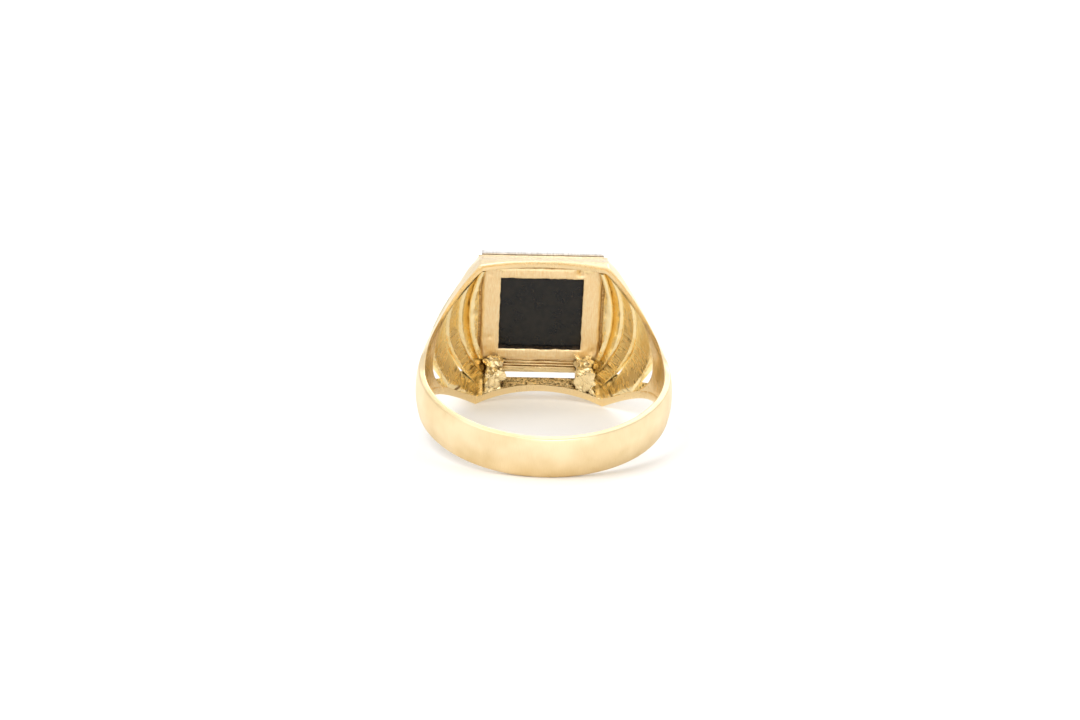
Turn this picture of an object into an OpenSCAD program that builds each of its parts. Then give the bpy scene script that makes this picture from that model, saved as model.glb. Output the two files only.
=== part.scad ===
// Signet ring with fluted shoulders, a white-gold bezel plate and a flat onyx tablet.
//
// Every sub-part is drawn in the ring's own frame: the finger's axis is Z, the head is towards +Y,
// and the origin is the centre of the finger hole. rest_pose() then lays the ring down as it lies
// on a table, on the lower corners of its head and the lower edge of its shank.

/* [Finger hole and shank] */
// Radius of the finger hole
bore_r = 9.9; // [9.5:0.05:10.2]
// Half of the shank's width
shank_half_w = 1.83; // [1.6:0.01:2.0]
// Outer radius at the middle of the shank
shank_mid_r = 10.65; // [10.6:0.01:10.9]
// Outer radius at the edges of the shank
shank_edge_r = 10.42; // [10.35:0.01:10.5]
// Height above the hole's centre where the shank ends and the shoulders start
shank_top_y = 2.0; // [1.5:0.1:2.5]

/* [Side walls] */
// Thickness of a side wall
wall_t = 0.6; // [0.5:0.05:0.7]
// How much a side wall leans in for each millimetre towards the front
wall_lean = 0.25; // [0.2:0.01:0.28]
// Half height of the head at the finger hole's top edge
rim_half_h = 6.48; // [6.3:0.01:6.6]
// Half width of the head, where the shoulders start to slope
head_half_w = 5.45; // [5.3:0.05:5.6]
// How far the shoulder's outline bulges beyond a straight line
shoulder_bulge = 0.3; // [0.1:0.05:0.5]
// Half length of the gallery slot in the lower side wall
slot_half_l = 3.15; // [2.5:0.05:3.3]
// Height of the gallery slot's lower edge above the hole's centre
slot_y = 11.1; // [10.9:0.05:11.4]

/* [Shoulders] */
// How far the shoulder's dome stands out beyond the side walls beside the head
dome_head_rise = 2.2; // [1.8:0.05:2.3]
// How far it stands out beside the shank
dome_shank_rise = 0.6; // [0.4:0.05:0.7]
// Thickness of the shoulder piece, between the shank and the ribs
shoulder_t = 0.65; // [0.5:0.05:0.7]
// Width of the ridge beside the stone seat
edge_rib_t = 0.45; // [0.4:0.01:0.5]

/* [Head] */
// Height of the head table's underside above the hole's centre
table_y = 12.3; // [12.2:0.05:12.4]
// Thickness of the head table
table_t = 0.45; // [0.4:0.01:0.5]
// Half width of the head table
table_half_w = 5.5; // [5.4:0.05:5.6]
// Height of the groove between the head table and the bezel plate
groove_h = 0.12; // [0.08:0.01:0.16]
// Depth of that groove
groove_d = 0.22; // [0.15:0.01:0.3]
// Thickness of the bezel plate
bezel_t = 0.75; // [0.6:0.01:0.9]
// Height of the bevel around the bezel plate
bezel_bevel = 0.2; // [0.2:0.01:0.45]
// Half side of the window behind the stone
window_half = 3.55; // [3.3:0.05:3.7]
// Thickness of the stone seat
seat_t = 0.35; // [0.3:0.01:0.4]
// Half side of the onyx tablet
stone_half = 4.15; // [4.0:0.05:4.25]
// How far the tablet stands above the bezel plate
stone_proud = 0.1; // [0.05:0.01:0.2]
// Thickness of the cement under the tablet
cement_t = 0.08; // [0.05:0.01:0.1]

/* [Hidden] */

$fn = 96;
YELLOW_GOLD = [0.93, 0.73, 0.36];
WHITE_GOLD = [0.88, 0.86, 0.82];
ONYX = [0.05, 0.05, 0.05];
CEMENT = [0.12, 0.09, 0.07];
FAR = 60;

// The side walls: their lean as an angle, and their outline seen along the lean. The outline is
// level over the head and then follows an arc down to the shank.
lean = atan(wall_lean);
head_v = (rim_half_h + wall_lean * bore_r) * cos(lean);
shank_corner = [10.2, (shank_half_w + wall_lean * shank_top_y) * cos(lean)];
head_corner = [head_half_w, head_v];
chord = shank_corner - head_corner;
outline_r = (pow(norm(chord) / 2, 2) + pow(shoulder_bulge, 2)) / (2 * shoulder_bulge);
chord_normal = [chord[1], -chord[0]] / norm(chord);
outline_c = (head_corner + shank_corner) / 2 + (outline_r - shoulder_bulge) * chord_normal;

// The side walls seen along the finger: straight tapers from the head end here, beside the shank.
taper_end = [9.9, 3.2];

// The shank's domed outside, as an arc in its cross-section.
crown = shank_mid_r - shank_edge_r;
crown_r = (pow(shank_half_w, 2) + pow(crown, 2)) / (2 * crown);

// The dome of each shoulder is a cone. Its outer edge in plan runs from beside the head to beside
// the shank, and its axis lies dome_head_r and dome_shank_r inside that edge. The cone itself runs
// on past both, from dome_back behind the axis's first point.
taper = taper_end - [head_half_w, table_y];
taper_out = [-taper[1], taper[0]] / norm(taper);
dome_head_r = 9.0;
dome_shank_r = 5.2;
dome_edge = [
    [head_half_w, table_y] + dome_head_rise * taper_out, taper_end + dome_shank_rise * taper_out
];
dome_axis = [dome_edge[0] - dome_head_r * taper_out, dome_edge[1] - dome_shank_r * taper_out];
dome_dir = (dome_axis[1] - dome_axis[0]) / norm(dome_axis[1] - dome_axis[0]);
dome_at = [for (edge = dome_edge) (edge - dome_axis[0]) * dome_dir];
dome_r = [for (edge = dome_edge) abs(cross(edge - dome_axis[0], dome_dir))];
dome_slope = (dome_r[1] - dome_r[0]) / (dome_at[1] - dome_at[0]);
dome_back = 9;
dome_length = 27;

// Ribs 2 to 4, from the head outwards, each a band of the dome. Columns: height above the hole's
// centre where it ends and where it starts, depth of its outside and of its inside below the dome,
// and the least distance from the middle of the ring.
RIBS = [
    [11.2, 12.6, 0.55, 1.15, 5.5],
    [9.7, 10.95, 0.15, 0.65, 5.5],
    [6.05, 9.4, 0, 0.55, 6.8]
];
edge_rib_y = 11.4;
edge_rib_half_l = 4.25;

// Where the shoulder piece ends beside rib 4, and the height where everything in the shoulders ends.
shoulder_top_y = 5.75;
dome_top_y = 12.6;

table_top_y = table_y + table_t;
plate_y = table_top_y + groove_h;
plate_top_y = plate_y + bezel_t;
stone_top_y = plate_top_y + stone_proud;
plate_half_w = 5.2;
plate_half_h = (rim_half_h + wall_lean * bore_r) - wall_lean * plate_y;
seat_half_w = 5.15;
seat_half_h = 4.61;

// The seat posts, and the file ridges across the table's underside beside the seat.
post_x = [3.15, 4.3];
lower_post_z = 4.25;
upper_post_y = 11.35;
ridge = 0.12;
RIDGE_Z = [-5.35, -4.95, 4.95, 5.35];

// How the ring lies: its lowest points are the head's lower corners and the shank's lower edge.
cusp_y = sqrt(pow(bore_r, 2) - pow(head_half_w, 2));
cusp_z = rim_half_h + wall_lean * (bore_r - cusp_y);
rest_tilt = atan((cusp_z - shank_half_w) / (cusp_y + shank_edge_r));
rest_lift = cusp_z * cos(rest_tilt) - cusp_y * sin(rest_tilt);
rest_front = plate_top_y * cos(rest_tilt) + plate_half_h * sin(rest_tilt);
rest_back = shank_edge_r * cos(rest_tilt) + shank_half_w * sin(rest_tilt);

module rest_pose() {
    translate([0, (rest_back - rest_front) / 2, rest_lift])
        rotate([rest_tilt, 0, 0])
            children();
}

// A block given by its lowest and highest corners.
module block(low, high) {
    translate(low) cube(high - low);
}

module bore() {
    cylinder(h = FAR, r = bore_r, center = true);
}

// ---- The shape that the side walls and the shoulders share ----

// The side walls' outline seen along their lean, drawn in by inset.
module wall_outline(inset) {
    intersection() {
        translate([-FAR / 2, head_v - inset - FAR]) square(FAR);
        translate([outline_c[0], outline_c[1]]) circle(r = outline_r - inset, $fn = 360);
        translate([-outline_c[0], outline_c[1]]) circle(r = outline_r - inset, $fn = 360);
    }
}

// Everything under the upper side wall's outline, drawn in by inset.
module under_wall(inset) {
    rotate([90 - lean, 0, 0])
        linear_extrude(height = FAR, center = true)
            wall_outline(inset);
}

// The space between the two walls' outlines, each drawn in by inset.
module between_walls(inset) {
    intersection() {
        under_wall(inset);
        mirror([0, 0, 1]) under_wall(inset);
    }
}

// The side walls' outline seen along the finger.
module wall_plan() {
    shank_x = sqrt(pow(shank_edge_r, 2) - pow(shank_top_y, 2));
    polygon([
        [-shank_x, shank_top_y], [-taper_end[0], taper_end[1]], [-head_half_w, table_y],
        [head_half_w, table_y], [taper_end[0], taper_end[1]], [shank_x, shank_top_y]
    ]);
}

// ---- Shank, side walls and shoulders ----

module shank() {
    color(YELLOW_GOLD)
        rest_pose()
            intersection() {
                rotate_extrude($fn = 180)
                    intersection() {
                        translate([bore_r, -shank_half_w]) square([2, 2 * shank_half_w]);
                        translate([shank_mid_r - crown_r, 0]) circle(r = crown_r, $fn = 360);
                    }
                block([-FAR, -FAR, -FAR], [FAR, shank_top_y, FAR]);
            }
}

// A whole side wall, on the upper side.
module side_wall() {
    difference() {
        intersection() {
            under_wall(0);
            linear_extrude(height = FAR) wall_plan();
            block([-FAR, shank_top_y, 0], [FAR, table_y, FAR]);
        }
        under_wall(wall_t);
        bore();
    }
}

module side_wall_upper() {
    color(YELLOW_GOLD) rest_pose() side_wall();
}

module side_wall_lower() {
    color(YELLOW_GOLD)
        rest_pose()
            mirror([0, 0, 1])
                difference() {
                    side_wall();
                    block([-slot_half_l, slot_y, 0], [slot_half_l, FAR, FAR]);
                }
}

// The right shoulder's dome, drawn in by inset.
module dome(inset) {
    translate([dome_axis[0][0], dome_axis[0][1], 0])
        rotate([0, 0, atan2(dome_dir[1], dome_dir[0])])
            rotate([0, 90, 0])
                translate([0, 0, -dome_back])
                    cylinder(
                        h = dome_length,
                        r1 = dome_r[0] - (dome_back + dome_at[0]) * dome_slope - inset,
                        r2 = dome_r[0] + (dome_length - dome_back - dome_at[0]) * dome_slope - inset,
                        $fn = 180
                    );
}

// Its children, as far as they lie in the right shoulder: between the side walls and outside the
// finger hole.
module in_shoulder() {
    difference() {
        intersection() {
            children();
            between_walls(wall_t);
            block([table_half_w, shank_top_y, -FAR], [shank_mid_r, dome_top_y, FAR]);
        }
        bore();
    }
}

// A band of the right shoulder from height low to height high, between two depths below the dome,
// and no nearer to the middle than near.
module band(low, high, outer, inner, near) {
    in_shoulder()
        intersection() {
            difference() {
                dome(outer);
                dome(inner);
            }
            block([near, low, -FAR], [FAR, high, FAR]);
        }
}

// The right shoulder piece, from the shank's end up to the slot beside rib 4.
module shoulder() {
    band(shank_top_y, shoulder_top_y, 0, shoulder_t, table_half_w);
}

module shoulder_right() {
    color(YELLOW_GOLD) rest_pose() shoulder();
}

module shoulder_left() {
    color(YELLOW_GOLD) rest_pose() mirror([1, 0, 0]) shoulder();
}

// ---- Ribs ----

// Rib 1 is the straight edge of the head beside the stone seat.
module rib_1() {
    block(
        [table_half_w, edge_rib_y, -edge_rib_half_l],
        [table_half_w + edge_rib_t, table_top_y, edge_rib_half_l]
    );
}

module rib(k) {
    difference() {
        band(RIBS[k][0], RIBS[k][1], RIBS[k][2], RIBS[k][3], RIBS[k][4]);
        rib_1();
    }
}

module rib_right_1() {
    color(YELLOW_GOLD) rest_pose() rib_1();
}

module rib_right_2() {
    color(YELLOW_GOLD) rest_pose() rib(0);
}

module rib_right_3() {
    color(YELLOW_GOLD) rest_pose() rib(1);
}

module rib_right_4() {
    color(YELLOW_GOLD) rest_pose() rib(2);
}

module rib_left_1() {
    color(YELLOW_GOLD) rest_pose() mirror([1, 0, 0]) rib_1();
}

module rib_left_2() {
    color(YELLOW_GOLD) rest_pose() mirror([1, 0, 0]) rib(0);
}

module rib_left_3() {
    color(YELLOW_GOLD) rest_pose() mirror([1, 0, 0]) rib(1);
}

module rib_left_4() {
    color(YELLOW_GOLD) rest_pose() mirror([1, 0, 0]) rib(2);
}

// ---- Head ----

// A square prism about the head's axis, from height low to height high.
module head_prism(half_w, half_h, low, high) {
    block([-half_w, low, -half_h], [half_w, high, half_h]);
}

module head_table() {
    color(YELLOW_GOLD)
        rest_pose()
            difference() {
                union() {
                    intersection() {
                        head_prism(table_half_w, FAR, table_y, table_top_y);
                        between_walls(0);
                    }
                    head_prism(plate_half_w - groove_d, plate_half_h - groove_d, table_top_y, plate_y);
                    for (z = RIDGE_Z)
                        block([-post_x[0], table_y - ridge, z - ridge / 2], [post_x[0], table_y, z + ridge / 2]);
                }
                head_prism(stone_half, stone_half, 0, FAR);
            }
}

module stone_seat() {
    color(YELLOW_GOLD)
        rest_pose()
            difference() {
                head_prism(seat_half_w, seat_half_h, table_y - seat_t, table_y);
                head_prism(window_half, window_half, 0, FAR);
            }
}

module cement_bed() {
    color(CEMENT)
        rest_pose()
            difference() {
                head_prism(stone_half, stone_half, table_y, table_y + cement_t);
                head_prism(window_half, window_half, 0, FAR);
            }
}

module onyx_stone() {
    color(ONYX)
        rest_pose()
            head_prism(stone_half, stone_half, table_y + cement_t, stone_top_y);
}

module bezel_plate() {
    bevel_y = plate_top_y - bezel_bevel;
    color(WHITE_GOLD)
        rest_pose()
            difference() {
                linear_extrude(height = 2 * plate_half_h, center = true)
                    polygon([
                        [-plate_half_w, plate_y], [plate_half_w, plate_y], [plate_half_w, bevel_y],
                        [plate_half_w - bezel_bevel, plate_top_y], [bezel_bevel - plate_half_w, plate_top_y],
                        [-plate_half_w, bevel_y]
                    ]);
                head_prism(stone_half, stone_half, 0, FAR);
            }
}

// The rough post between the seat's upper right corner and the upper side wall, from low_y and low_z.
module seat_post(low_y, low_z) {
    intersection() {
        difference() {
            block([post_x[0], low_y, low_z], [post_x[1], table_y, FAR]);
            bore();
            head_prism(seat_half_w, seat_half_h, table_y - seat_t, FAR);
        }
        between_walls(wall_t);
    }
}

// The upper posts are short, and the lower ones reach down to the finger hole.
module upper_post() {
    seat_post(upper_post_y, seat_half_h);
}

module lower_post() {
    mirror([0, 0, 1]) seat_post(0, lower_post_z);
}

module seat_post_upper_right() {
    color(YELLOW_GOLD) rest_pose() upper_post();
}

module seat_post_upper_left() {
    color(YELLOW_GOLD) rest_pose() mirror([1, 0, 0]) upper_post();
}

module seat_post_lower_right() {
    color(YELLOW_GOLD) rest_pose() lower_post();
}

module seat_post_lower_left() {
    color(YELLOW_GOLD) rest_pose() mirror([1, 0, 0]) lower_post();
}

shank();
side_wall_upper();
side_wall_lower();
shoulder_left();
shoulder_right();
rib_left_1();
rib_left_2();
rib_left_3();
rib_left_4();
rib_right_1();
rib_right_2();
rib_right_3();
rib_right_4();
seat_post_upper_left();
seat_post_upper_right();
seat_post_lower_left();
seat_post_lower_right();
head_table();
stone_seat();
cement_bed();
onyx_stone();
bezel_plate();
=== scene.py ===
"""A two-tone gold signet ring, lying on its side on a white table.

Every piece is built in the ring's own frame, in millimetres: the finger's axis is Z, the head is
towards +Y and the origin is the centre of the finger hole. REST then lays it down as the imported
model lies, in metres.
"""

import math

import bmesh
import bpy
from mathutils import Matrix, Vector, noise


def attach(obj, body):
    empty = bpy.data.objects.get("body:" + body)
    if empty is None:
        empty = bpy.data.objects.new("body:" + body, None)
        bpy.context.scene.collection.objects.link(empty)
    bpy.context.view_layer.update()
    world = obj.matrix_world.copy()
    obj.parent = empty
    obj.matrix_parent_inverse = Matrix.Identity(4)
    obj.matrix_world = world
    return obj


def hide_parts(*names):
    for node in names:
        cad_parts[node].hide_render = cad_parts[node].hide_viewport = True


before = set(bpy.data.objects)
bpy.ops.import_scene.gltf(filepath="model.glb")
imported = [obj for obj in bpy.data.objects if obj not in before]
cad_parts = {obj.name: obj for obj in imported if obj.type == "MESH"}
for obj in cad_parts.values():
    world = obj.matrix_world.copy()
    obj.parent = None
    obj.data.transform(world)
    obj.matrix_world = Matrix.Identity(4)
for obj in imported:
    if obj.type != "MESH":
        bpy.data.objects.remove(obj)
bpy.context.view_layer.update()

# ---- Dimensions, in millimetres, as in the solids ----

BORE_R = 9.9
SHANK_HALF_W = 1.83
SHANK_MID_R = 10.65
SHANK_EDGE_R = 10.42
SHANK_TOP_Y = 2.0

WALL_T = 0.6
WALL_T_BESIDE_HEAD = 0.42
WALL_LEAN = 0.25
RIM_HALF_H = 6.48
HEAD_HALF_W = 5.45
SHOULDER_BULGE = 0.3
TAPER_END = (9.9, 3.2)
SLOT_HALF_L = 3.15
SLOT_Y = 10.85

TABLE_Y = 12.3
TABLE_TOP_Y = 12.75
TABLE_HALF_W = 5.5
# How far the head's upper edge is drawn in, and its lower edge let out, to follow the plate.
HEAD_UPPER_IN = 0.34
HEAD_LOWER_OUT = 0.2
PLATE_Y = 12.87
PLATE_TOP_Y = 13.62
PLATE_HALF_W = 5.2
PLATE_HALF_H = 5.73
STONE_TOP_Y = 13.72
STONE_HALF = 4.15
STONE_BACK_Y = 12.38
# The plate and the stone sit this far below the middle of the head, seen with the ring lying down.
PLATE_DROP = 0.27
WINDOW_HALF = 3.55
CORNERS = ((1, 1), (-1, 1), (-1, -1), (1, -1))
SEAT_Y = 11.95
SEAT_HALF_W = 5.15
SEAT_HALF_H = 4.61

# ---- The pose on the table ----

cusp_y = math.sqrt(BORE_R**2 - HEAD_HALF_W**2)
cusp_z = RIM_HALF_H + WALL_LEAN * (BORE_R - cusp_y)
tilt = math.atan((cusp_z - SHANK_HALF_W) / (cusp_y + SHANK_EDGE_R))
lift = cusp_z * math.cos(tilt) - cusp_y * math.sin(tilt)
rest_front = PLATE_TOP_Y * math.cos(tilt) + PLATE_HALF_H * math.sin(tilt)
rest_back = SHANK_EDGE_R * math.cos(tilt) + SHANK_HALF_W * math.sin(tilt)
shift = (rest_back - rest_front) / 2
REST = (
    Matrix.Scale(0.001, 4)
    @ Matrix.Translation((0, shift, lift))
    @ Matrix.Rotation(tilt, 4, "X")
)

# ---- Surfaces that the pieces share ----

lean = math.atan(WALL_LEAN)
head_v = (RIM_HALF_H + WALL_LEAN * BORE_R) * math.cos(lean)
shank_corner = Vector((10.2, (SHANK_HALF_W + WALL_LEAN * SHANK_TOP_Y) * math.cos(lean)))
head_corner = Vector((HEAD_HALF_W, head_v))
chord = shank_corner - head_corner
outline_r = ((chord.length / 2) ** 2 + SHOULDER_BULGE**2) / (2 * SHOULDER_BULGE)
chord_normal = Vector((chord.y, -chord.x)) / chord.length
outline_c = (head_corner + shank_corner) / 2 + (outline_r - SHOULDER_BULGE) * chord_normal


def smoothstep(low, high, value):
    """Eases from 0 at low to 1 at high."""
    t = min(max((value - low) / (high - low), 0.0), 1.0)
    return t * t * (3 - 2 * t)


def mix(a, b, t):
    """The value at fraction t of the way from a to b."""
    return a + (b - a) * t


def wall_z(x, y, inset):
    """Height of the upper side wall's outer face, drawn in by inset, above the point (x, y)."""
    along = (outline_r - inset) ** 2 - (abs(x) - outline_c.x) ** 2
    arc_v = outline_c.y + math.sqrt(max(along, 0.0))
    return min(head_v - inset, arc_v) / math.cos(lean) - WALL_LEAN * y


def wall_t(x):
    """The side walls are thinner beside the head than over it."""
    return mix(WALL_T, WALL_T_BESIDE_HEAD, smoothstep(4.8, 6.6, abs(x)))


def rim_z(x, y):
    """The side wall's outer face, eased down onto the shank's edge."""
    above = max(wall_z(x, y, 0) - SHANK_HALF_W, 0.0)
    return SHANK_HALF_W + smoothstep(-0.6, 3.2, y) * above


def plan_x(y):
    """Where the side walls' outer edge lies, seen along the finger."""
    if y > TAPER_END[1]:
        t = (y - TAPER_END[1]) / (TABLE_Y - TAPER_END[1])
        return mix(TAPER_END[0], HEAD_HALF_W, t)
    return math.sqrt(SHANK_EDGE_R**2 - y * y) - 0.02 * smoothstep(2.0, 3.2, y)


def head_edge(p):
    """Follows the plate: the head's upper edge is drawn in, and its lower edge is let out."""
    reach = smoothstep(9.9, 12.3, p.y) * smoothstep(4.0, 5.2, abs(p.z))
    reach *= 1 - smoothstep(5.6, 7.5, abs(p.x))
    p.z -= (HEAD_UPPER_IN if p.z > 0 else HEAD_LOWER_OUT) * reach


def bore_y(x):
    """The finger hole's wall towards the head, at x."""
    return math.sqrt(max(BORE_R**2 - x * x, 0.0))


# ---- Mesh helpers ----


def grain(point, scale, seed=0.0):
    """Smooth noise from -1 to 1 at a point in millimetres, in features of the given size."""
    return noise.noise(Vector(point) / scale + Vector((seed, 2 * seed, 3 * seed)))


def finish_mesh(name, bm, materials, bevel=0.05, soft=None, angle=40):
    """Rounds the sharp edges, except where soft says that a neighbour carries on, and places it."""
    bmesh.ops.remove_doubles(bm, verts=bm.verts, dist=0.004)
    bmesh.ops.dissolve_degenerate(bm, edges=bm.edges, dist=0.004)
    bmesh.ops.recalc_face_normals(bm, faces=bm.faces)
    if bevel:
        edges = [
            e for e in bm.edges
            if len(e.link_faces) == 2 and e.calc_face_angle(0) > math.radians(angle)
            and not (soft and soft(e.verts[0].co) and soft(e.verts[1].co))
        ]
        bmesh.ops.bevel(bm, geom=edges, offset=bevel, segments=2, profile=0.5, affect="EDGES",
                        clamp_overlap=True)
    bm.transform(REST)
    mesh = bpy.data.meshes.new(name)
    bm.to_mesh(mesh)
    bm.free()
    for material in materials:
        mesh.materials.append(material)
    mesh.shade_smooth()
    mesh.set_sharp_from_angle(angle=math.radians(angle))
    piece = bpy.data.objects.new(name, mesh)
    bpy.context.scene.collection.objects.link(piece)
    return piece


def sweep(rings):
    """A closed solid through rings of equally many points, capped at both ends."""
    bm = bmesh.new()
    grid = [[bm.verts.new(p) for p in ring] for ring in rings]
    count = len(grid[0])
    for a, b in zip(grid, grid[1:]):
        for i in range(count):
            j = (i + 1) % count
            bm.faces.new((a[i], a[j], b[j], b[i]))
    bm.faces.new(grid[0][::-1])
    bm.faces.new(grid[-1])
    return bm


def mirrored(rings, left=False, low=False):
    """The same rings on the left or the lower side."""
    sx, sz = (-1 if left else 1), (-1 if low else 1)
    return [[(sx * x, y, sz * z) for x, y, z in ring] for ring in rings]


def declare(piece, node):
    """Attaches a piece to the root body and hides the solid that it stands for."""
    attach(piece, "root")
    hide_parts(node)


# ---- Materials ----


class Shader:
    """A material's node tree around one Principled shader."""

    def __init__(self, name, color, metallic, roughness):
        """Starts the tree with coordinates in the ring's own frame, in millimetres."""
        self.material = bpy.data.materials.new(name)
        self.material.use_nodes = True
        self.tree = self.material.node_tree
        self.shader = self.tree.nodes["Principled BSDF"]
        self.shader.inputs["Base Color"].default_value = (*color, 1)
        self.shader.inputs["Metallic"].default_value = metallic
        self.shader.inputs["Roughness"].default_value = roughness
        coords = self.add("TexCoord").outputs["Object"]
        ring = self.add("Mapping", coords)
        ring.inputs["Location"].default_value = REST.inverted().translation
        ring.inputs["Rotation"].default_value = (-tilt, 0, 0)
        ring.inputs["Scale"].default_value = (1000, 1000, 1000)
        self.ring = ring.outputs[0]

    def add(self, kind, vector=None, **values):
        node = self.tree.nodes.new("ShaderNode" + kind)
        if vector is not None:
            self.tree.links.new(vector, node.inputs["Vector"])
        for key, value in values.items():
            setattr(node, key, value)
        return node

    def link(self, output, node, socket):
        self.tree.links.new(output, node.inputs[socket])

    def stretched(self, scale):
        """The ring's coordinates scaled along X, Y and Z."""
        node = self.add("Mapping", self.ring)
        node.inputs["Scale"].default_value = scale
        return node.outputs[0]

    def around(self, scale):
        """Coordinates that follow the shank: radius, way round and height, scaled."""
        parts = self.add("SeparateXYZ", self.ring)
        x, y, z = parts.outputs
        angle = self.math("ARCTAN2", x, self.math("MULTIPLY", y, -1))
        squares = self.math("ADD", self.math("MULTIPLY", x, x), self.math("MULTIPLY", y, y))
        joined = self.add("CombineXYZ")
        self.link(self.math("MULTIPLY", self.math("SQRT", squares), scale[0]), joined, 0)
        self.link(self.math("MULTIPLY", angle, scale[1] * SHANK_MID_R), joined, 1)
        self.link(self.math("MULTIPLY", z, scale[2]), joined, 2)
        return joined.outputs[0]

    def height(self):
        """The coordinate along the finger."""
        return self.add("SeparateXYZ", self.ring).outputs[2]

    def math(self, operation, a, b=None):
        """An operation on one or two values, each a number or another node's output."""
        node = self.add("Math", operation=operation)
        for socket, value in enumerate((a, b)):
            if isinstance(value, (int, float)):
                node.inputs[socket].default_value = value
            elif value is not None:
                self.link(value, node, socket)
        return node.outputs[0]

    def noise(self, vector, scale, detail=4.0, rough=0.55):
        """Smooth noise around 0.5."""
        node = self.add("TexNoise", vector)
        node.inputs["Scale"].default_value = scale
        node.inputs["Detail"].default_value = detail
        node.inputs["Roughness"].default_value = rough
        return node.outputs[0]

    def spread(self, value, low, high, out_low, out_high):
        """Stretches the range from low to high over out_low to out_high."""
        node = self.add("MapRange")
        node.clamp = True
        self.link(value, node, "Value")
        for key, number in zip(("From Min", "From Max", "To Min", "To Max"),
                               (low, high, out_low, out_high)):
            node.inputs[key].default_value = number
        return node.outputs[0]

    def tint(self, factor, dark, light):
        """Colours the surface from dark to light by a factor from 0 to 1."""
        ramp = self.add("ValToRGB")
        ramp.color_ramp.elements[0].color = (*dark, 1)
        ramp.color_ramp.elements[1].color = (*light, 1)
        self.link(factor, ramp, "Fac")
        self.link(ramp.outputs[0], self.shader, "Base Color")

    def rough(self, value):
        self.link(value, self.shader, "Roughness")

    def bump(self, *layers):
        """Adds height layers, each given as (height, depth in millimetres)."""
        normal = None
        for height, depth in layers:
            node = self.add("Bump")
            node.inputs["Strength"].default_value = 1.0
            node.inputs["Distance"].default_value = depth / 1000
            self.link(height, node, "Height")
            if normal is not None:
                self.link(normal, node, "Normal")
            normal = node.outputs[0]
        self.link(normal, self.shader, "Normal")

    def crevices(self, distance):
        """How open the surface is, from 0 deep in a recess to 1 in the open; the materials paint
        shade into recesses with it.
        """
        node = self.add("AmbientOcclusion")
        node.samples = 8
        node.inputs["Distance"].default_value = distance / 1000
        return node.outputs["AO"]


# The gold outside; a lighter copy of it for inside the head and shoulders, as painted light; and a
# darker gold for painted shade in their recesses.
GOLD = (0.94, 0.735, 0.42)
GOLD_PAINTED_LIGHT = (1.0, 0.84, 0.49)
GOLD_PAINTED_SHADE = (0.96, 0.74, 0.37)


def polished_gold(name, light, wave):
    """Hand-polished casting: wavy to a depth in millimetres, scratched, with painted shade in the
    recesses.
    """
    s = Shader(name, light, 1.0, 0.2)
    open_ = s.crevices(1.2)
    cloud = s.noise(s.ring, 0.5, 3)
    # Painted shade: the colour falls to the darker gold where the occlusion finds a recess.
    s.tint(s.spread(s.math("ADD", open_, s.math("MULTIPLY", cloud, 0.3)), 0.25, 0.95, 0, 1),
           GOLD_PAINTED_SHADE, light)
    scratch = s.noise(s.stretched((9, 9, 0.8)), 2.2, 3)
    s.rough(s.spread(s.math("ADD", cloud, scratch), 0.7, 1.3, 0.16, 0.32))
    s.bump((s.noise(s.ring, 0.8, 2), wave), (s.noise(s.ring, 3.0, 3), 0.2 * wave), (scratch, 0.004))
    return s.material


def satin_gold():
    """The shank's fine emery finish, drawn across the band, with painted shade towards its lower
    edge.
    """
    s = Shader("satin_gold", GOLD, 1.0, 0.36)
    across = s.noise(s.around((1, 14, 0.9)), 1.6, 4, 0.65)
    cloud = s.noise(s.ring, 0.35, 2)
    mixed = s.math("ADD", s.math("MULTIPLY", across, 0.5), cloud)
    # Painted shade: the band darkens towards its lower edge, near the table.
    mixed = s.math("ADD", mixed, s.spread(s.height(), -1.9, 0.3, -0.34, 0))
    s.tint(s.spread(mixed, 0.2, 0.9, 0, 1), (0.70, 0.51, 0.24), (0.91, 0.74, 0.47))
    s.rough(s.spread(across, 0.3, 0.7, 0.30, 0.44))
    s.bump((across, 0.006), (s.noise(s.ring, 0.7, 2), 0.02))
    return s.material


def cast_gold():
    """The casting's grainy skin where no tool reached, with dark investment left in its pits and
    painted shade in its recesses.
    """
    s = Shader("cast_gold", GOLD, 1.0, 0.45)
    grains = s.noise(s.ring, 5, 5, 0.7)
    open_ = s.crevices(0.8)
    # The grains give the dark pits, and the occlusion adds painted shade in recesses.
    mixed = s.math("ADD", s.math("MULTIPLY", grains, 1.9), s.math("MULTIPLY", open_, 0.4))
    s.tint(s.spread(mixed, 1.08, 1.45, 0, 1), (0.06, 0.03, 0.01), (1.0, 0.80, 0.44))
    s.rough(s.spread(grains, 0.3, 0.7, 0.5, 0.22))
    s.bump((grains, 0.16), (s.noise(s.ring, 2.0, 3), 0.16))
    return s.material


def solder_gold():
    """Lumps of solder and casting metal: shiny on their swellings, with painted shade in their
    folds.
    """
    s = Shader("solder_gold", GOLD, 1.0, 0.3)
    grains = s.noise(s.ring, 5, 4, 0.6)
    open_ = s.crevices(0.5)
    # Painted shade: darker where the occlusion finds a fold.
    mixed = s.math("ADD", s.math("MULTIPLY", grains, 0.5), s.math("MULTIPLY", open_, 0.7))
    s.tint(s.spread(mixed, 0.45, 0.8, 0, 1), (0.12, 0.07, 0.02), (1.0, 0.82, 0.48))
    s.rough(s.spread(grains, 0.3, 0.7, 0.42, 0.2))
    s.bump((grains, 0.08), (s.noise(s.ring, 1.8, 3), 0.1))
    return s.material


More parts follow.
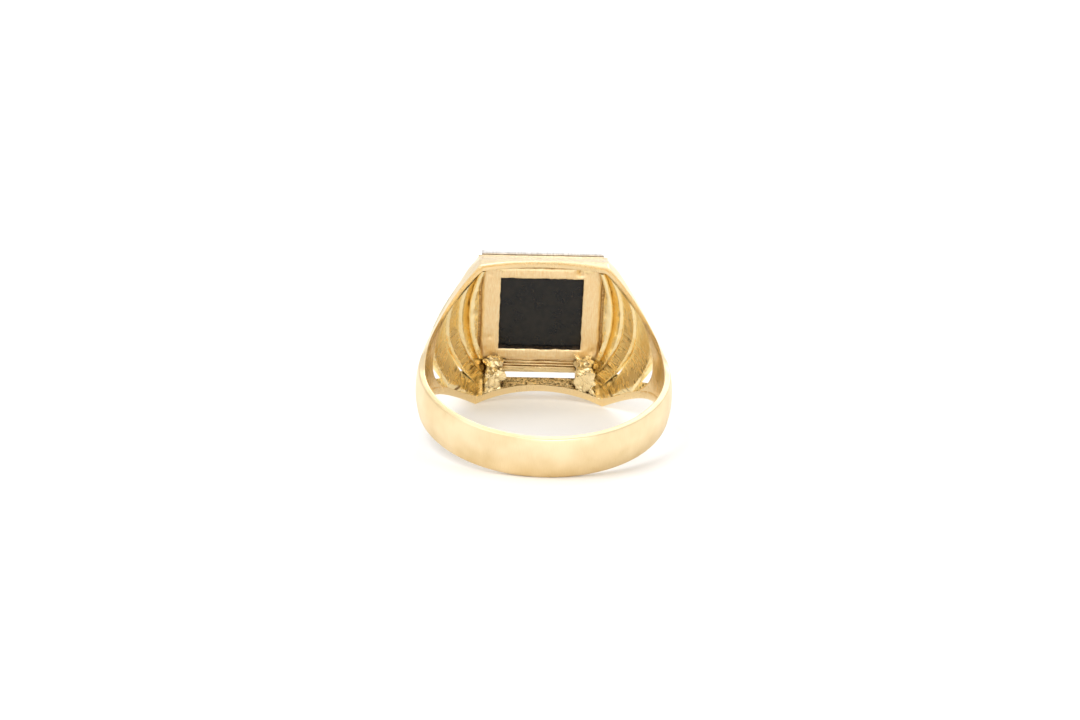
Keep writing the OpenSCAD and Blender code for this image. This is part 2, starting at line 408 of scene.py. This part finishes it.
def striated_gold():
    """The cast inside of the ribs, with the dark marks of the wax knife across it, and painted
    shade in its recesses and towards the bottom.
    """
    s = Shader("striated_gold", GOLD, 1.0, 0.35)
    marks = s.noise(s.stretched((0.5, 0.35, 4)), 1.1, 2, 0.5)
    patches = s.noise(s.ring, 0.7, 3)
    open_ = s.crevices(0.5)
    # Painted shade in recesses, from the occlusion.
    mixed = s.math("ADD", s.math("MULTIPLY", marks, 1.6), s.math("MULTIPLY", open_, 0.3))
    mixed = s.math("ADD", mixed, s.math("MULTIPLY", patches, 1.3))
    # Painted shade: darker towards the bottom.
    mixed = s.math("ADD", mixed, s.spread(s.height(), -4.5, -1.5, -0.06, 0.35))
    s.tint(s.spread(mixed, 1.28, 1.65, 0, 1), (0.20, 0.12, 0.04), (1.0, 0.84, 0.50))
    s.rough(s.spread(marks, 0.3, 0.7, 0.4, 0.18))
    s.bump((marks, 0.07), (s.noise(s.ring, 5, 4), 0.02))
    return s.material


def matt_gold():
    """The stone seat's filed and blasted face, with upright file marks."""
    s = Shader("matt_gold", (0.93, 0.72, 0.40), 1.0, 0.5)
    marks = s.noise(s.stretched((7, 2, 0.9)), 1.5, 4, 0.6)
    specks = s.noise(s.ring, 6, 4, 0.6)
    s.tint(s.spread(s.math("ADD", marks, s.math("MULTIPLY", specks, 0.4)), 0.5, 0.9, 0, 1),
           (0.92, 0.68, 0.36), (1.0, 0.84, 0.56))
    s.rough(s.spread(specks, 0.3, 0.7, 0.34, 0.52))
    s.bump((marks, 0.04), (specks, 0.02), (s.noise(s.ring, 0.7, 2), 0.12))
    return s.material


def filed_gold():
    """The head table's underside, with long file strokes across the head, and painted shade in its
    recesses.
    """
    s = Shader("filed_gold", GOLD, 1.0, 0.3)
    strokes = s.noise(s.stretched((0.5, 3, 9)), 1.2, 4, 0.6)
    open_ = s.crevices(0.6)
    # The strokes darken it, and the occlusion adds painted shade in recesses.
    s.tint(s.spread(s.math("MULTIPLY", strokes, open_), 0.1, 0.5, 0, 1),
           (0.36, 0.19, 0.05), (1.0, 0.82, 0.48))
    s.rough(s.spread(strokes, 0.3, 0.7, 0.2, 0.4))
    s.bump((strokes, 0.08), (s.noise(s.ring, 1.2, 2), 0.08))
    return s.material


def groove_painted_shade():
    """The groove under the plate, coloured dark as painted shade."""
    s = Shader("groove_painted_shade", (0.3, 0.16, 0.06), 1.0, 0.5)
    shade_mottle = s.noise(s.ring, 3, 4)
    s.tint(s.spread(shade_mottle, 0.35, 0.7, 0, 1), (0.10, 0.05, 0.02), (0.36, 0.21, 0.10))
    s.bump((shade_mottle, 0.03))
    return s.material


def white_gold():
    """White gold with the fine upright strokes of a hand file."""
    s = Shader("white_gold", (0.80, 0.78, 0.75), 1.0, 0.25)
    strokes = s.noise(s.stretched((7, 0.4, 0.4)), 0.9, 3, 0.55)
    s.tint(s.spread(strokes, 0.35, 0.65, 0, 1), (0.58, 0.55, 0.52), (0.74, 0.72, 0.70))
    s.rough(s.spread(strokes, 0.3, 0.7, 0.3, 0.45))
    s.bump((strokes, 0.004))
    return s.material


def onyx():
    """Black onyx: polished in front, sawn and dusty behind."""
    s = Shader("onyx", (0.006, 0.006, 0.006), 0.0, 0.2)
    s.shader.inputs["Specular IOR Level"].default_value = 0.36
    dust = s.noise(s.ring, 1.1, 5, 0.65)
    s.tint(s.spread(dust, 0.45, 0.8, 0, 1), (0.003, 0.003, 0.003), (0.016, 0.014, 0.012))
    s.rough(s.spread(dust, 0.35, 0.7, 0.22, 0.5))
    s.bump((s.noise(s.stretched((0.6, 4, 5)), 2, 3), 0.01))
    return s.material


def cement():
    """Dull black-brown jeweller's cement."""
    s = Shader("cement", (0.02, 0.012, 0.008), 0.0, 0.7)
    lumps = s.noise(s.ring, 4, 4)
    s.tint(s.spread(lumps, 0.4, 0.7, 0, 1), (0.008, 0.006, 0.005), (0.06, 0.035, 0.015))
    s.bump((lumps, 0.08))
    return s.material


def table_top():
    """The white table."""
    s = Shader("table_top", (0.93, 0.93, 0.93), 0.0, 0.7)
    s.rough(s.spread(s.noise(s.ring, 0.3, 3), 0.3, 0.7, 0.6, 0.8))
    return s.material


# The insides take the gold painted lighter than the outside, as painted light.
POLISHED = polished_gold("polished_gold", GOLD_PAINTED_LIGHT, 0.12)
OUTER = polished_gold("outer_gold", GOLD, 0.02)
SATIN = satin_gold()
CAST = cast_gold()
STRIATED = striated_gold()
SOLDER = solder_gold()
MATT = matt_gold()
FILED = filed_gold()
GROOVE_SHADE = groove_painted_shade()
WHITE = white_gold()
ONYX = onyx()
CEMENT = cement()

# ---- Shank ----


def at_cut(p):
    """Where the shank ends and the shoulders carry on."""
    return abs(p.y - SHANK_TOP_Y) < 0.02


def make_shank():
    """The band round the palm side: satin outside, polished on the finger hole's wall."""
    crown = SHANK_MID_R - SHANK_EDGE_R
    crown_r = (SHANK_HALF_W**2 + crown**2) / (2 * crown)
    profile = [(BORE_R, mix(-1, 1, i / 10)) for i in range(11)]
    profile += [(mix(BORE_R, SHANK_EDGE_R, i / 4), 1) for i in range(1, 4)]
    for i in range(21):
        height = mix(1, -1, i / 20)
        z = height * SHANK_HALF_W
        profile.append((SHANK_MID_R - crown_r + math.sqrt(crown_r**2 - z * z), height))
    profile += [(mix(SHANK_EDGE_R, BORE_R, i / 4), -1) for i in range(1, 4)]
    rings = []
    rows = 300
    for i in range(rows + 1):
        ring = []
        for r, height in profile:
            over = math.asin(SHANK_TOP_Y / r)
            a = mix(-math.pi - over, over, i / rows)
            x, y = r * math.cos(a), r * math.sin(a)
            ring.append((x, y, height * rim_z(x, y)))
        rings.append(ring)
    bm = sweep(rings)
    for face in bm.faces:
        radius = face.calc_center_median().xy.length
        face.material_index = 0 if radius > BORE_R + 0.1 else 1
    declare(finish_mesh("band", bm, [SATIN, OUTER], 0.07, at_cut), "shank")


make_shank()

# ---- Side walls ----

# The walls' inner faces are cast up to here behind the head, and striated beyond it.
CAST_HALF_W = 4.9


def wall_columns(slotted):
    """Pairs of plan points across a side wall, from its right end to its left end."""
    start, end = math.asin(SHANK_TOP_Y / BORE_R), math.acos(HEAD_HALF_W / BORE_R)
    slope = []
    for i in range(81):
        f = i / 80
        a = mix(start, end, f)
        y = mix(SHANK_TOP_Y, TABLE_Y, f)
        slope.append(((BORE_R * math.cos(a), BORE_R * math.sin(a)), (plan_x(y), y)))
    flat = []
    xs = [mix(HEAD_HALF_W, SLOT_HALF_L, i / 16) for i in range(1, 17)]
    xs += [mix(SLOT_HALF_L - 0.01, 0.0, i / 24) for i in range(25)]
    for x in xs:
        top = SLOT_Y if slotted and x < SLOT_HALF_L else TABLE_Y
        flat.append(((x, bore_y(x)), (x, top)))
    half = slope + flat
    other = [((-a[0], a[1]), (-b[0], b[1])) for a, b in reversed(half[:-1])]
    return half + other


def wall_rings(low):
    """A side wall: its outer face is smooth, and its inner face is pitted away from its edges."""
    across = 14
    rings = []
    for near, far in wall_columns(low):
        plan = [(mix(near[0], far[0], j / across), mix(near[1], far[1], j / across))
                for j in range(across + 1)]
        outer = [(x, y, rim_z(x, y)) for x, y in plan]
        inner = []
        for j, (x, y) in enumerate(plan):
            z = min(wall_z(x, y, wall_t(x)), rim_z(x, y) - 0.3)
            pitted = 0.05 * grain((x, y, z), 0.25, 5) + 0.05 * grain((x, y, z), 0.7, 9)
            inner.append((x, y, z + pitted * min(j, across - j, 3) / 3))
        rings.append(outer + inner[::-1])
    return mirrored(rings, low=low)


def at_shoulder(p):
    """Where the wall's bore face and its end carry on into the shoulder piece and the shank."""
    on_bore = abs(p.xy.length - BORE_R) < 0.02
    inside = abs(p.z) < rim_z(p.x, p.y) - 0.25
    return at_cut(p) or (on_bore and inside and p.y < 3.7)


for low, name in ((False, "upper"), (True, "lower")):
    bm = sweep(wall_rings(low))
    for face in bm.faces:
        p = face.calc_center_median()
        inside = abs(p.z) < rim_z(p.x, p.y) - 0.35 and p.xy.length > BORE_R + 0.05
        face.material_index = (1 if abs(p.x) < CAST_HALF_W else 2) if inside else 0
    for vert in bm.verts:
        head_edge(vert.co)
    wall = finish_mesh(f"wall_{name}", bm, [OUTER, CAST, STRIATED], 0.07, at_shoulder)
    declare(wall, f"side_wall_{name}")

# ---- Shoulders ----

# The right shoulder's inside follows an arc along the finger at every y.
# Columns: y, the arc's x in the middle, and its radius.
SHELL = (
    (2.0, 9.75, 6.5), (3.66, 9.55, 6.5), (6.05, 9.08, 6.5), (9.7, 7.85, 9.5), (11.2, 6.8, 9.2),
    (12.7, 5.55, 10.8),
)
SHELL_T = 0.55
# How much tighter the arc is in the upper half, where it is tightest.
UPPER_TIGHTER = 1.7
# Ribs 2 to 4, from the head outwards: y where each ends, towards the shank, and where it starts.
BARS = {2: (11.2, 12.6), 3: (9.7, 11.0), 4: (6.05, 9.42)}
# How far each rib's start is set back behind the end of the rib before it.
RIB_STEP = {2: 0.05, 3: 0.22, 4: 0.25}
# The ribs' insides are striated below this z, and rib 4 is also uneven to this depth.
STRIATED_FROM = -0.8
STRIATED_DEPTH = 0.07
# How far the outsides of ribs 3 and 4 bulge.
RIB_CROWN = 0.07
# How far ribs 3 and 4 sweep inwards at their lower ends.
RIB_SWEEP = 0.55
# The arc along the finger where the shoulder piece starts: its centre's x, and its radius.
ROOT_ARC = (2.58, 6.62)
# The shank's crown, as the fall of its radius with the square of the distance from the middle.
CROWN_FALL = 0.0687
# Rib 1: its half length, the arc that it follows (x in the middle, and radius), y of its crest,
# and x of its side towards the seat.
EDGE_RIB_HALF_L = 4.35
EDGE_RIB_X = 6.0
EDGE_RIB_R = 11.0
EDGE_RIB_Y = 11.5
EDGE_RIB_NEAR_X = 5.35


def bar_high(k, z):
    """Where rib k starts: the slot above it widens from its upper half to its lower half."""
    if k == 2:
        return BARS[k][1]
    return mix(BARS[k][1], BARS[k - 1][0] - 0.04, smoothstep(-3.0, -0.3, z))


def along_shell(y, column):
    """One of SHELL's columns, read smoothly at y."""
    i = max(j for j in range(len(SHELL) - 1) if SHELL[j][0] <= y or j == 0)
    near = [SHELL[min(max(j, 0), len(SHELL) - 1)] for j in (i - 1, i, i + 1, i + 2)]
    before, low, high, after = near
    span = high[0] - low[0]
    t = (y - low[0]) / span
    slope_low = (high[column] - before[column]) / (high[0] - before[0]) * span
    slope_high = (after[column] - low[column]) / (after[0] - low[0]) * span
    return (
        (2 * t**3 - 3 * t**2 + 1) * low[column] + (t**3 - 2 * t**2 + t) * slope_low
        + (3 * t**2 - 2 * t**3) * high[column] + (t**3 - t**2) * slope_high
    )


def clear_bore_x(y):
    """Just outside the finger hole's wall, at y."""
    return math.sqrt(max((BORE_R + 0.02) ** 2 - y * y, 0))


def shell_x(y, z):
    """The inside of the right shoulder at y and z, never inside the finger hole."""
    radius = along_shell(y, 2)
    if z > 0:
        radius -= UPPER_TIGHTER * smoothstep(6.05, 9.7, y) * (1 - smoothstep(9.7, 11.2, y))
    x = along_shell(y, 1) - radius + math.sqrt(radius**2 - z * z)
    return max(x, clear_bore_x(y))


def shoulder_outer_x(y, z):
    """The shoulder's outside: the shank's crown eases into the shell."""
    crown = SHANK_MID_R - CROWN_FALL * z * z
    return mix(math.sqrt(crown**2 - y * y), shell_x(y, z) + SHELL_T, smoothstep(2.0, 5.2, y))


def to_wall(t, point, overlap):
    """The point at fraction t of the way from the middle to the side walls."""
    z = 0.0
    for _ in range(14):
        x, y = point(z)
        z = mix(z, t * wall_z(x, y, wall_t(x) - overlap), 0.7)
    x, y = point(z)
    return x, y, z


def foot_x(k, y, z, t):
    """Rib k's inside, which sweeps inwards onto the lower side wall."""
    sweep_in = RIB_SWEEP * max((-t - 0.3) / 0.7, 0) ** 2 if k > 2 else 0
    return max(shell_x(y, z) - sweep_in, clear_bore_x(y))


def bar_rings(k, rows=110, along=10):
    """Rib k, from one side wall to the other."""
    low = BARS[k][0]
    rings = []
    for i in range(rows + 1):
        t = mix(-1, 1, i / rows)
        inner, outer = [], []
        for j in range(along + 1):
            u = j / along
            y = mix(low, bar_high(k, 5 * t), u)
            x, _, z = to_wall(t, lambda z: (foot_x(k, y, z, t), y), 0.12)
            bulge = math.sin(math.pi * u)
            cast = smoothstep(STRIATED_FROM, STRIATED_FROM - 1.5, z) * bulge**0.5
            cast *= STRIATED_DEPTH if k == 4 else 0
            x += cast * grain((0, y * 0.3, z), 0.17, 4 * k) + 0.04 * grain((x, y, z), 0.8, k)
            inner.append((x + RIB_STEP[k] * u**1.5, y, z))
            crown = RIB_CROWN * bulge if k > 2 else 0
            outer.append(to_wall(t, lambda z: (shell_x(y, z) + SHELL_T + crown, y), 0.12))
        ribbon = mix(Vector(inner[0]), Vector(outer[0]), 0.5) + Vector((0, 0.04, 0))
        rings.append([tuple(ribbon)] + inner + outer[::-1])
    return rings


def edge_rib_rings(rows=60):
    """Rib 1: the low ridge beside the stone seat."""
    rings = []
    for i in range(rows + 1):
        z = mix(-EDGE_RIB_HALF_L, EDGE_RIB_HALF_L, i / rows)
        x = EDGE_RIB_X - EDGE_RIB_R + math.sqrt(EDGE_RIB_R**2 - z * z)
        x += 0.03 * grain((0, 0, z), 0.9, 2)
        low, high = EDGE_RIB_Y + 0.04 * grain((1, 0, z), 0.7, 3), TABLE_TOP_Y - 0.1
        rings.append([
            (EDGE_RIB_NEAR_X, low + 0.4, z), (x - 0.3, low + 0.16, z), (x - 0.12, low + 0.03, z),
            (x, low, z), (x + 0.12, low + 0.03, z), (x + 0.2, low + 0.16, z), (x + 0.2, high, z),
            (EDGE_RIB_NEAR_X, high, z),
        ])
    return rings


def shoulder_rings(rows=40, along=16):
    """The shoulder piece, from the slot beside rib 4 to the shank."""
    end = math.asin(SHANK_TOP_Y / BORE_R)

    def start(z):
        """Where the piece starts on the finger hole's wall, as an angle round the hole."""
        x = ROOT_ARC[0] + math.sqrt(ROOT_ARC[1] ** 2 - z * z)
        return max(math.acos(min(x / BORE_R, 1)), end)

    def inner(u):
        def point(z):
            a = mix(start(z), end, u)
            return BORE_R * math.cos(a), BORE_R * math.sin(a)
        return point

    def outer(u):
        def point(z):
            y = mix(max(BORE_R * math.sin(start(z)) + 0.35, SHANK_TOP_Y), SHANK_TOP_Y, u)
            return shoulder_outer_x(y, z), y
        return point

    rings = []
    for i in range(rows + 1):
        t = mix(-1, 1, i / rows)
        outside = [to_wall(t, outer(j / along), 0.02) for j in range(along + 1)]
        inside = [to_wall(t, inner(j / along), 0.02) for j in range(along + 1)]
        rings.append(outside + inside[::-1])
    return rings


def beside_wall(p):
    """Where the shoulder piece meets the side walls and the shank."""
    return at_cut(p) or abs(p.z) > wall_z(p.x, p.y, wall_t(p.x) + 0.06)


# How deep in the shoulder's thickness a rib's inside ends and its outside begins.
INSIDE_TO = 0.35
OUTSIDE_FROM = 0.42


def dress_rib(bm, k):
    """Gives rib k its smooth outside, and ribs 3 and 4 a cast skin in the inside's lower half."""
    low, high = BARS[k]
    for face in bm.faces:
        p = face.calc_center_median()
        depth = abs(p.x) - shell_x(min(max(p.y, low), high), p.z)
        on_face = low + 0.08 < p.y < high - 0.05
        if depth > OUTSIDE_FROM:
            face.material_index = 2
        elif k > 2 and depth < INSIDE_TO and on_face and p.z < STRIATED_FROM:
            face.material_index = 1


for left, side in ((False, "right"), (True, "left")):
    bm = sweep(mirrored(shoulder_rings(), left))
    piece = finish_mesh(f"shoulder_root_{side}", bm, [OUTER], 0.06, beside_wall)
    declare(piece, f"shoulder_{side}")
    bm = sweep(mirrored(edge_rib_rings(), left))
    piece = finish_mesh(f"louvre_{side}_1", bm, [POLISHED], 0.05)
    declare(piece, f"rib_{side}_1")
    for k in BARS:
        bm = sweep(mirrored(bar_rings(k), left))
        dress_rib(bm, k)
        piece = finish_mesh(f"louvre_{side}_{k}", bm, [POLISHED, STRIATED, OUTER], 0.07)
        declare(piece, f"rib_{side}_{k}")

# ---- Head ----


def box(bm, low, high, cuts=(1, 1, 1), shape=None):
    """A block from low to high, cut into a grid, with shape applied to each point."""
    grid = {}
    nx, ny, nz = cuts

    def vert(i, j, k):
        if (i, j, k) not in grid:
            p = Vector((mix(low[0], high[0], i / nx), mix(low[1], high[1], j / ny),
                        mix(low[2], high[2], k / nz)))
            grid[i, j, k] = bm.verts.new(shape(p) if shape else p)
        return grid[i, j, k]

    for i in range(nx):
        for j in range(ny):
            for k in (0, nz):
                bm.faces.new([vert(i, j, k), vert(i + 1, j, k),
                              vert(i + 1, j + 1, k), vert(i, j + 1, k)])
    for i in range(nx):
        for k in range(nz):
            for j in (0, ny):
                bm.faces.new([vert(i, j, k), vert(i + 1, j, k),
                              vert(i + 1, j, k + 1), vert(i, j, k + 1)])
    for j in range(ny):
        for k in range(nz):
            for i in (0, nx):
                bm.faces.new([vert(i, j, k), vert(i, j + 1, k),
                              vert(i, j + 1, k + 1), vert(i, j, k + 1)])
    return bm


def frame_rings(loops):
    """A frame around the head's axis, through loops of (half width, half height, y)."""
    steps = 36
    rings = []
    for (ax, az), (bx, bz) in zip(CORNERS, CORNERS[1:] + CORNERS[:1]):
        for i in range(steps):
            t = i / steps
            rings.append([(mix(ax, bx, t) * w, y, mix(az, bz, t) * h) for w, h, y in loops])
    return rings


def closed_sweep(rings):
    """A closed loop of rings, such as a frame."""
    bm = bmesh.new()
    grid = [[bm.verts.new(p) for p in ring] for ring in rings]
    for a, b in zip(grid, grid[1:] + grid[:1]):
        for i in range(len(a)):
            j = (i + 1) % len(a)
            bm.faces.new((a[i], a[j], b[j], b[i]))
    return bm


def file_ridge(bm, z, half_l=3.1, half_w=0.06):
    """A wavy ridge that the file left under the head table, at height z."""
    wobble = 0.05 * grain((z, 0, 0), 0.3, 3)

    def bowed(p):
        p.z += 0.05 * grain((p.x, 0, z), 1.4, 7) + wobble
        p.y += 0.03 * grain((p.x, 3, z), 0.5, 2)
        return p

    box(bm, (-half_l, TABLE_Y - 0.13, z - half_w), (half_l, TABLE_Y + 0.02, z + half_w),
        (40, 1, 1), bowed)


def make_head_table():
    """The plate that carries the setting, the groove above it and the file ridges below it."""
    groove_y = TABLE_TOP_Y - 0.12
    neck_w, neck_h = PLATE_HALF_W - 0.05, PLATE_HALF_H - 0.05
    loops = [
        (STONE_HALF, STONE_HALF, TABLE_Y), (TABLE_HALF_W, wall_z(0, TABLE_Y, 0), TABLE_Y),
        (TABLE_HALF_W, wall_z(0, TABLE_TOP_Y, 0), groove_y), (neck_w, neck_h, groove_y),
        (neck_w, neck_h, PLATE_Y), (STONE_HALF, STONE_HALF, PLATE_Y),
    ]
    bm = closed_sweep(frame_rings(loops))
    for face in bm.faces:
        p = face.calc_center_median()
        # The groove and the neck under the plate take the painted shade.
        face.material_index = 1 if p.y > groove_y - 0.02 else 0
    for side in (-1, 1):
        for ridge_z in (4.78, 5.02, 5.3):
            file_ridge(bm, side * ridge_z)
    for vert in bm.verts:
        head_edge(vert.co)
    declare(finish_mesh("table_plate", bm, [FILED, GROOVE_SHADE], 0.04), "head_table")


make_head_table()


# The seat's pit, blow hole and dents: x, z, size and depth.
DENTS = ((-4.35, -2.35, 0.16, 0.1), (3.35, 4.2, 0.36, 0.4), (-4.4, 3.9, 0.2, 0.06),
         (4.5, -3.7, 0.25, 0.08))


def seat_y(x, z):
    """The seat's face: worn at its edges, dented, and missing its two upper corners."""
    edge = min(SEAT_HALF_W - abs(x), SEAT_HALF_H - abs(z))
    rim = max(abs(x) - WINDOW_HALF, abs(z) - WINDOW_HALF)
    y = SEAT_Y + 0.14 * (1 - smoothstep(0, 0.35, edge)) ** 2
    y += 0.05 * (1 - smoothstep(0, 0.16, rim)) ** 2
    y += 0.03 * grain((x * 2.2, 0, z * 0.5), 0.5, 4) + 0.012 * grain((x, 0, z), 0.2, 8)
    corner = math.hypot(max(abs(x) - SEAT_HALF_W + 1, 0), max(z - SEAT_HALF_H + 1, 0))
    corner += 0.05 * grain((x, 5, z), 0.5)
    y = mix(y, TABLE_Y - 0.02, smoothstep(0.92, 1.1, corner))
    for dent_x, dent_z, size, depth in DENTS:
        y += depth * math.exp(-((x - dent_x) ** 2 + (z - dent_z) ** 2) / size**2)
    return y


def on_window_edge(x, z):
    """Whether a point lies on one of the window's four sides."""
    return any(abs(abs(a) - WINDOW_HALF) < 0.01 and abs(b) < WINDOW_HALF + 0.01
               for a, b in ((x, z), (z, x)))


def seat_lines(half, count):
    """Grid lines across the seat, with the nearest ones moved onto the window's sides."""
    lines = [mix(-half, half, i / count) for i in range(count + 1)]
    for side in (-WINDOW_HALF, WINDOW_HALF):
        nearest = min(range(len(lines)), key=lambda i: abs(lines[i] - side))
        lines[nearest] = side
    return lines


def make_seat():
    """The stone seat: a filed frame around the window."""
    bm = bmesh.new()
    step = 0.14
    nx, nz = round(2 * SEAT_HALF_W / step), round(2 * SEAT_HALF_H / step)
    xs, zs = seat_lines(SEAT_HALF_W, nx), seat_lines(SEAT_HALF_H, nz)
    verts = {}

    def vert(i, k, back):
        if (i, k, back) not in verts:
            x, z = xs[i], zs[k]
            y = seat_y(x, z) if back else TABLE_Y
            wave = 0.0
            if on_window_edge(x, z):
                wave = 0.05 * grain((z, x, 0), 0.8, 11) + 0.03 * grain((z, x, 0), 0.3, 12)
            verts[i, k, back] = bm.verts.new((x + wave, y, z + wave))
        return verts[i, k, back]

    def solid(i, k):
        if not (0 <= i < nx and 0 <= k < nz):
            return False
        x, z = (xs[i] + xs[i + 1]) / 2, (zs[k] + zs[k + 1]) / 2
        return abs(x) > WINDOW_HALF or abs(z) > WINDOW_HALF

    for i in range(nx):
        for k in range(nz):
            if not solid(i, k):
                continue
            for back in (True, False):
                bm.faces.new([vert(i, k, back), vert(i + 1, k, back),
                              vert(i + 1, k + 1, back), vert(i, k + 1, back)])
            sides = [((i - 1, k), (i, k), (i, k + 1)), ((i + 1, k), (i + 1, k), (i + 1, k + 1)),
                     ((i, k - 1), (i, k), (i + 1, k)), ((i, k + 1), (i, k + 1), (i + 1, k + 1))]
            for neighbour, a, b in sides:
                if not solid(*neighbour):
                    bm.faces.new([vert(*a, True), vert(*b, True),
                                  vert(*b, False), vert(*a, False)])
    declare(finish_mesh("seat_frame", bm, [MATT], 0.05, angle=50), "stone_seat")


make_seat()


def make_cement():
    """The cement's ragged edge inside the window, lumpier at the corners and along the bottom."""
    rings = []
    steps = 260
    bottom = 2
    for i in range(steps):
        t = 4 * i / steps
        side, f = int(t), t - int(t)
        a, b = CORNERS[side], CORNERS[(side + 1) % 4]
        ux, uz = mix(a[0], b[0], f), mix(a[1], b[1], f)
        corner = abs(2 * f - 1) ** 6
        reach = 0.05 + 0.10 * grain((ux * 3, uz * 3, 0), 0.6, 2)
        reach += 0.07 * grain((ux * 3, uz * 3, 1), 0.18, 6) + 0.10 * corner
        reach = max(reach + (0.05 if side == bottom else 0), 0.01)
        inner, outer = WINDOW_HALF - reach, STONE_HALF - 0.05
        low = STONE_BACK_Y - (0.3 if side == bottom else 0.1)
        low -= 0.05 * grain((ux * 3, uz * 3, 2), 0.4, 1)
        profile = (
            (inner, STONE_BACK_Y + 0.01), (inner + 0.04, low), (WINDOW_HALF + 0.05, low - 0.01),
            (outer, TABLE_Y + 0.02), (outer, STONE_BACK_Y + 0.01),
        )
        rings.append([(ux * half, y, uz * half) for half, y in profile])
    declare(finish_mesh("cement_edge", closed_sweep(rings), [CEMENT], 0), "cement_bed")


make_cement()


def make_stone():
    """The flat onyx tablet."""
    bm = box(bmesh.new(), (-STONE_HALF, STONE_BACK_Y, -STONE_HALF - PLATE_DROP),
             (STONE_HALF, STONE_TOP_Y, STONE_HALF - PLATE_DROP), (8, 2, 8))
    declare(finish_mesh("onyx_tablet", bm, [ONYX], 0.12), "onyx_stone")


make_stone()


def make_plate():
    """The white-gold plate around the stone, bevelled outside and towards the stone."""
    bevel = 0.2
    lip = STONE_HALF + 0.25
    loops = [
        (STONE_HALF, STONE_HALF, PLATE_Y), (PLATE_HALF_W, PLATE_HALF_H, PLATE_Y),
        (PLATE_HALF_W, PLATE_HALF_H, PLATE_TOP_Y - bevel),
        (PLATE_HALF_W - bevel, PLATE_HALF_H - bevel, PLATE_TOP_Y),
        (lip, lip, PLATE_TOP_Y), (STONE_HALF, STONE_HALF, PLATE_TOP_Y - 0.12),
    ]
    bm = closed_sweep(frame_rings(loops))
    bmesh.ops.translate(bm, verts=bm.verts, vec=(0, 0, -PLATE_DROP))
    declare(finish_mesh("bezel", bm, [WHITE], 0.05, angle=30), "bezel_plate")


make_plate()

# ---- Seat posts ----


def make_post(left, low):
    """A lump of casting metal and solder between the seat's corner and the side wall."""
    seed = (13 if left else 29) + (41 if low else 0)
    inner, outer = 3.15, 4.7 if low else 4.35
    foot_z = 4.15 if low else 4.62
    # How deep the post sinks into the wall, how rough it is, and how far it keeps from the finger.
    sunk = 0.25 if low else 0.05
    rough = 1 if low else 0.4
    clear_r = BORE_R + 0.03

    def lumpy(p):
        """Places a point given as x, the way from the finger to the head, and from foot to wall."""
        x, t, z = p
        near = bore_y(x) + 0.08 if low else 11.35
        y = mix(near, TABLE_Y, t)
        top = wall_z(x, y, WALL_T - sunk)
        z = mix(foot_z, top, z)
        waist = 1 - 0.4 * math.sin(math.pi * t) ** 2
        x = mix(inner + 0.55, x, waist)
        q = Vector((x, y, z))
        push = Vector((grain(q, 0.55, seed), 0.3 * grain(q, 0.5, seed + 3),
                       grain(q, 0.5, seed + 6)))
        fine = Vector((grain(q, 0.2, seed), grain(q, 0.2, seed + 4), grain(q, 0.2, seed + 8)))
        q += (0.42 * push + 0.14 * fine) * rough
        q.z = min(q.z, top)
        length = q.xy.length
        if length < clear_r:
            q.x, q.y = q.x * clear_r / length, q.y * clear_r / length
        return Vector((-q.x if left else q.x, q.y, -q.z if low else q.z))

    bm = box(bmesh.new(), (inner, 0, 0), (outer, 1, 1), (16, 40, 20), lumpy)
    side, row = ("left" if left else "right"), ("lower" if low else "upper")
    piece = finish_mesh(f"post_{row}_{side}", bm, [SOLDER], 0, angle=180)
    declare(piece, f"seat_post_{row}_{side}")


for left in (False, True):
    for low in (False, True):
        make_post(left, low)

# ---- Table, light and camera ----

bpy.ops.mesh.primitive_plane_add(size=6)
floor = bpy.context.object
floor.name = "table_surface"
floor.data.materials.append(table_top())

world = bpy.data.worlds.new("studio")
bpy.context.scene.world = world
world.use_nodes = True
background = world.node_tree.nodes["Background"]
background.inputs["Color"].default_value = (1, 1, 1, 1)
background.inputs["Strength"].default_value = 0.92


def softbox(name, at, size, power, aim=(0, 0, 0.006)):
    """A square area lamp, its size in metres and its power in watts, turned towards the ring."""
    light = bpy.data.lights.new(name, "AREA")
    light.size = size
    light.energy = power
    lamp = bpy.data.objects.new(name, light)
    lamp.location = at
    lamp.rotation_euler = (Vector(aim) - Vector(at)).to_track_quat("-Z", "Y").to_euler()
    bpy.context.scene.collection.objects.link(lamp)


softbox("key", (-0.25, -0.15, 0.5), 0.3, 1.0)
softbox("fill", (0.08, -0.5, 0.16), 0.2, 0.8)
softbox("back", (0.2, 0.45, 0.35), 0.4, 1.0)

bpy.context.scene.view_settings.view_transform = "Standard"

# The camera stands on the palm side, a little to the left, and is rolled slightly.
LENS = 120
DISTANCE = 0.2988
ELEVATION = math.radians(16.8)
YAW = math.radians(2.2)
ROLL = math.radians(1.8)
# Where the centre of the finger hole appears, right of and above the middle of the frame.
CENTRE_AT = (0.00032, -0.00243)

camera = bpy.data.objects.new("camera", bpy.data.cameras.new("camera"))
camera.data.lens = LENS
camera.data.sensor_width = 36
camera.data.clip_start = 0.01
bpy.context.scene.collection.objects.link(camera)
bpy.context.scene.camera = camera
ahead = Vector((math.sin(YAW) * math.cos(ELEVATION), math.cos(YAW) * math.cos(ELEVATION),
                -math.sin(ELEVATION)))
camera.rotation_mode = "QUATERNION"
turn = ahead.to_track_quat("-Z", "Y") @ Matrix.Rotation(ROLL, 4, "Z").to_quaternion()
camera.rotation_quaternion = turn
hole_centre = REST @ Vector((0, 0, 0))
right, up = turn @ Vector((1, 0, 0)), turn @ Vector((0, 1, 0))
camera.location = hole_centre - DISTANCE * ahead - CENTRE_AT[0] * right - CENTRE_AT[1] * up
